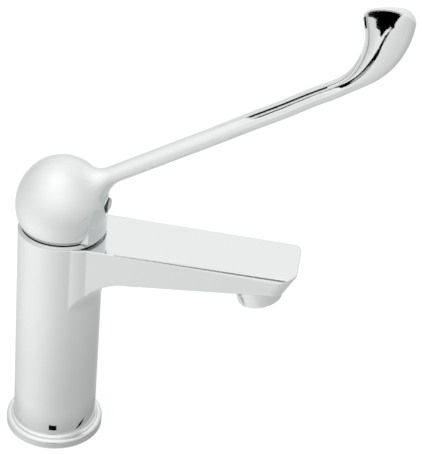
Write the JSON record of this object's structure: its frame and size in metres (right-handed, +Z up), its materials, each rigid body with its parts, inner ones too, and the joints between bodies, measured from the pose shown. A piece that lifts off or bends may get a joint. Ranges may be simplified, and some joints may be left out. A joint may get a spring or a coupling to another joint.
{
  "type": "basin mixer tap",
  "caption": "Deck-mounted basin mixer tap with a flat spout and a long single lever on a ball-shaped head.",
  "frame": {"origin": "centre of the underside, where the base gasket rests on the basin deck, on the axis of the column", "axes": "+Z up along the column, +X forwards along the spout and the lever, +Y to the right of someone who faces the tap"},
  "size_m": [0.1943, 0.054, 0.2792],
  "materials": {
    "chrome": "polished chrome plate",
    "black_rubber": "matt black rubber",
    "brass": "machined brass",
    "white_plastic": "white acetal",
    "slippery_plastic": "natural low-friction plastic",
    "grey_plastic": "grey acetal",
    "ceramic": "lapped ceramic",
    "steel": "stainless steel",
    "plug_grey": "glossy grey plastic"
  },
  "bodies": {
    "tap_body": {"body_casting": "chrome", "base_ring": "chrome", "base_gasket": "black_rubber", "collar_ring": "chrome", "cartridge_nut": "brass", "cartridge_housing": "white_plastic", "cartridge_base": "white_plastic", "fixed_disc": "ceramic", "inlet_seals": "black_rubber", "upper_o_ring": "black_rubber", "lower_o_ring": "black_rubber", "aerator_housing": "chrome", "aerator_insert": "grey_plastic", "aerator_gasket": "black_rubber"},
    "turning_head": {"cartridge_rotor": "white_plastic", "pivot_pin": "steel", "glide_ring": "slippery_plastic"},
    "disc_slide": {"disc_carrier": "grey_plastic", "moving_disc": "ceramic"},
    "lever": {"lever_stem": "brass", "lever_handle": "chrome", "grub_screw": "steel", "indicator_plug": "plug_grey"}
  },
  "joints": [
    {"name": "temperature_turn", "type": "hinge", "parent": "tap_body", "child": "turning_head", "pos_m": [0, 0, 0.1446], "axis": [0, 0, 1], "range_deg": [-50, 50]},
    {"name": "flow_lift", "type": "hinge", "parent": "turning_head", "child": "lever", "pos_m": [0, 0, 0.1446], "axis": [0, -1, 0], "range_deg": [0, 20]},
    {"name": "disc_travel", "type": "slide", "parent": "turning_head", "child": "disc_slide", "axis": [1, 0, 0], "range_m": [0, 0.01063]}
  ],
  "couplings": [
    {"joint": "disc_travel", "follows": "flow_lift", "m_per_rad": 0.03044}
  ]
}
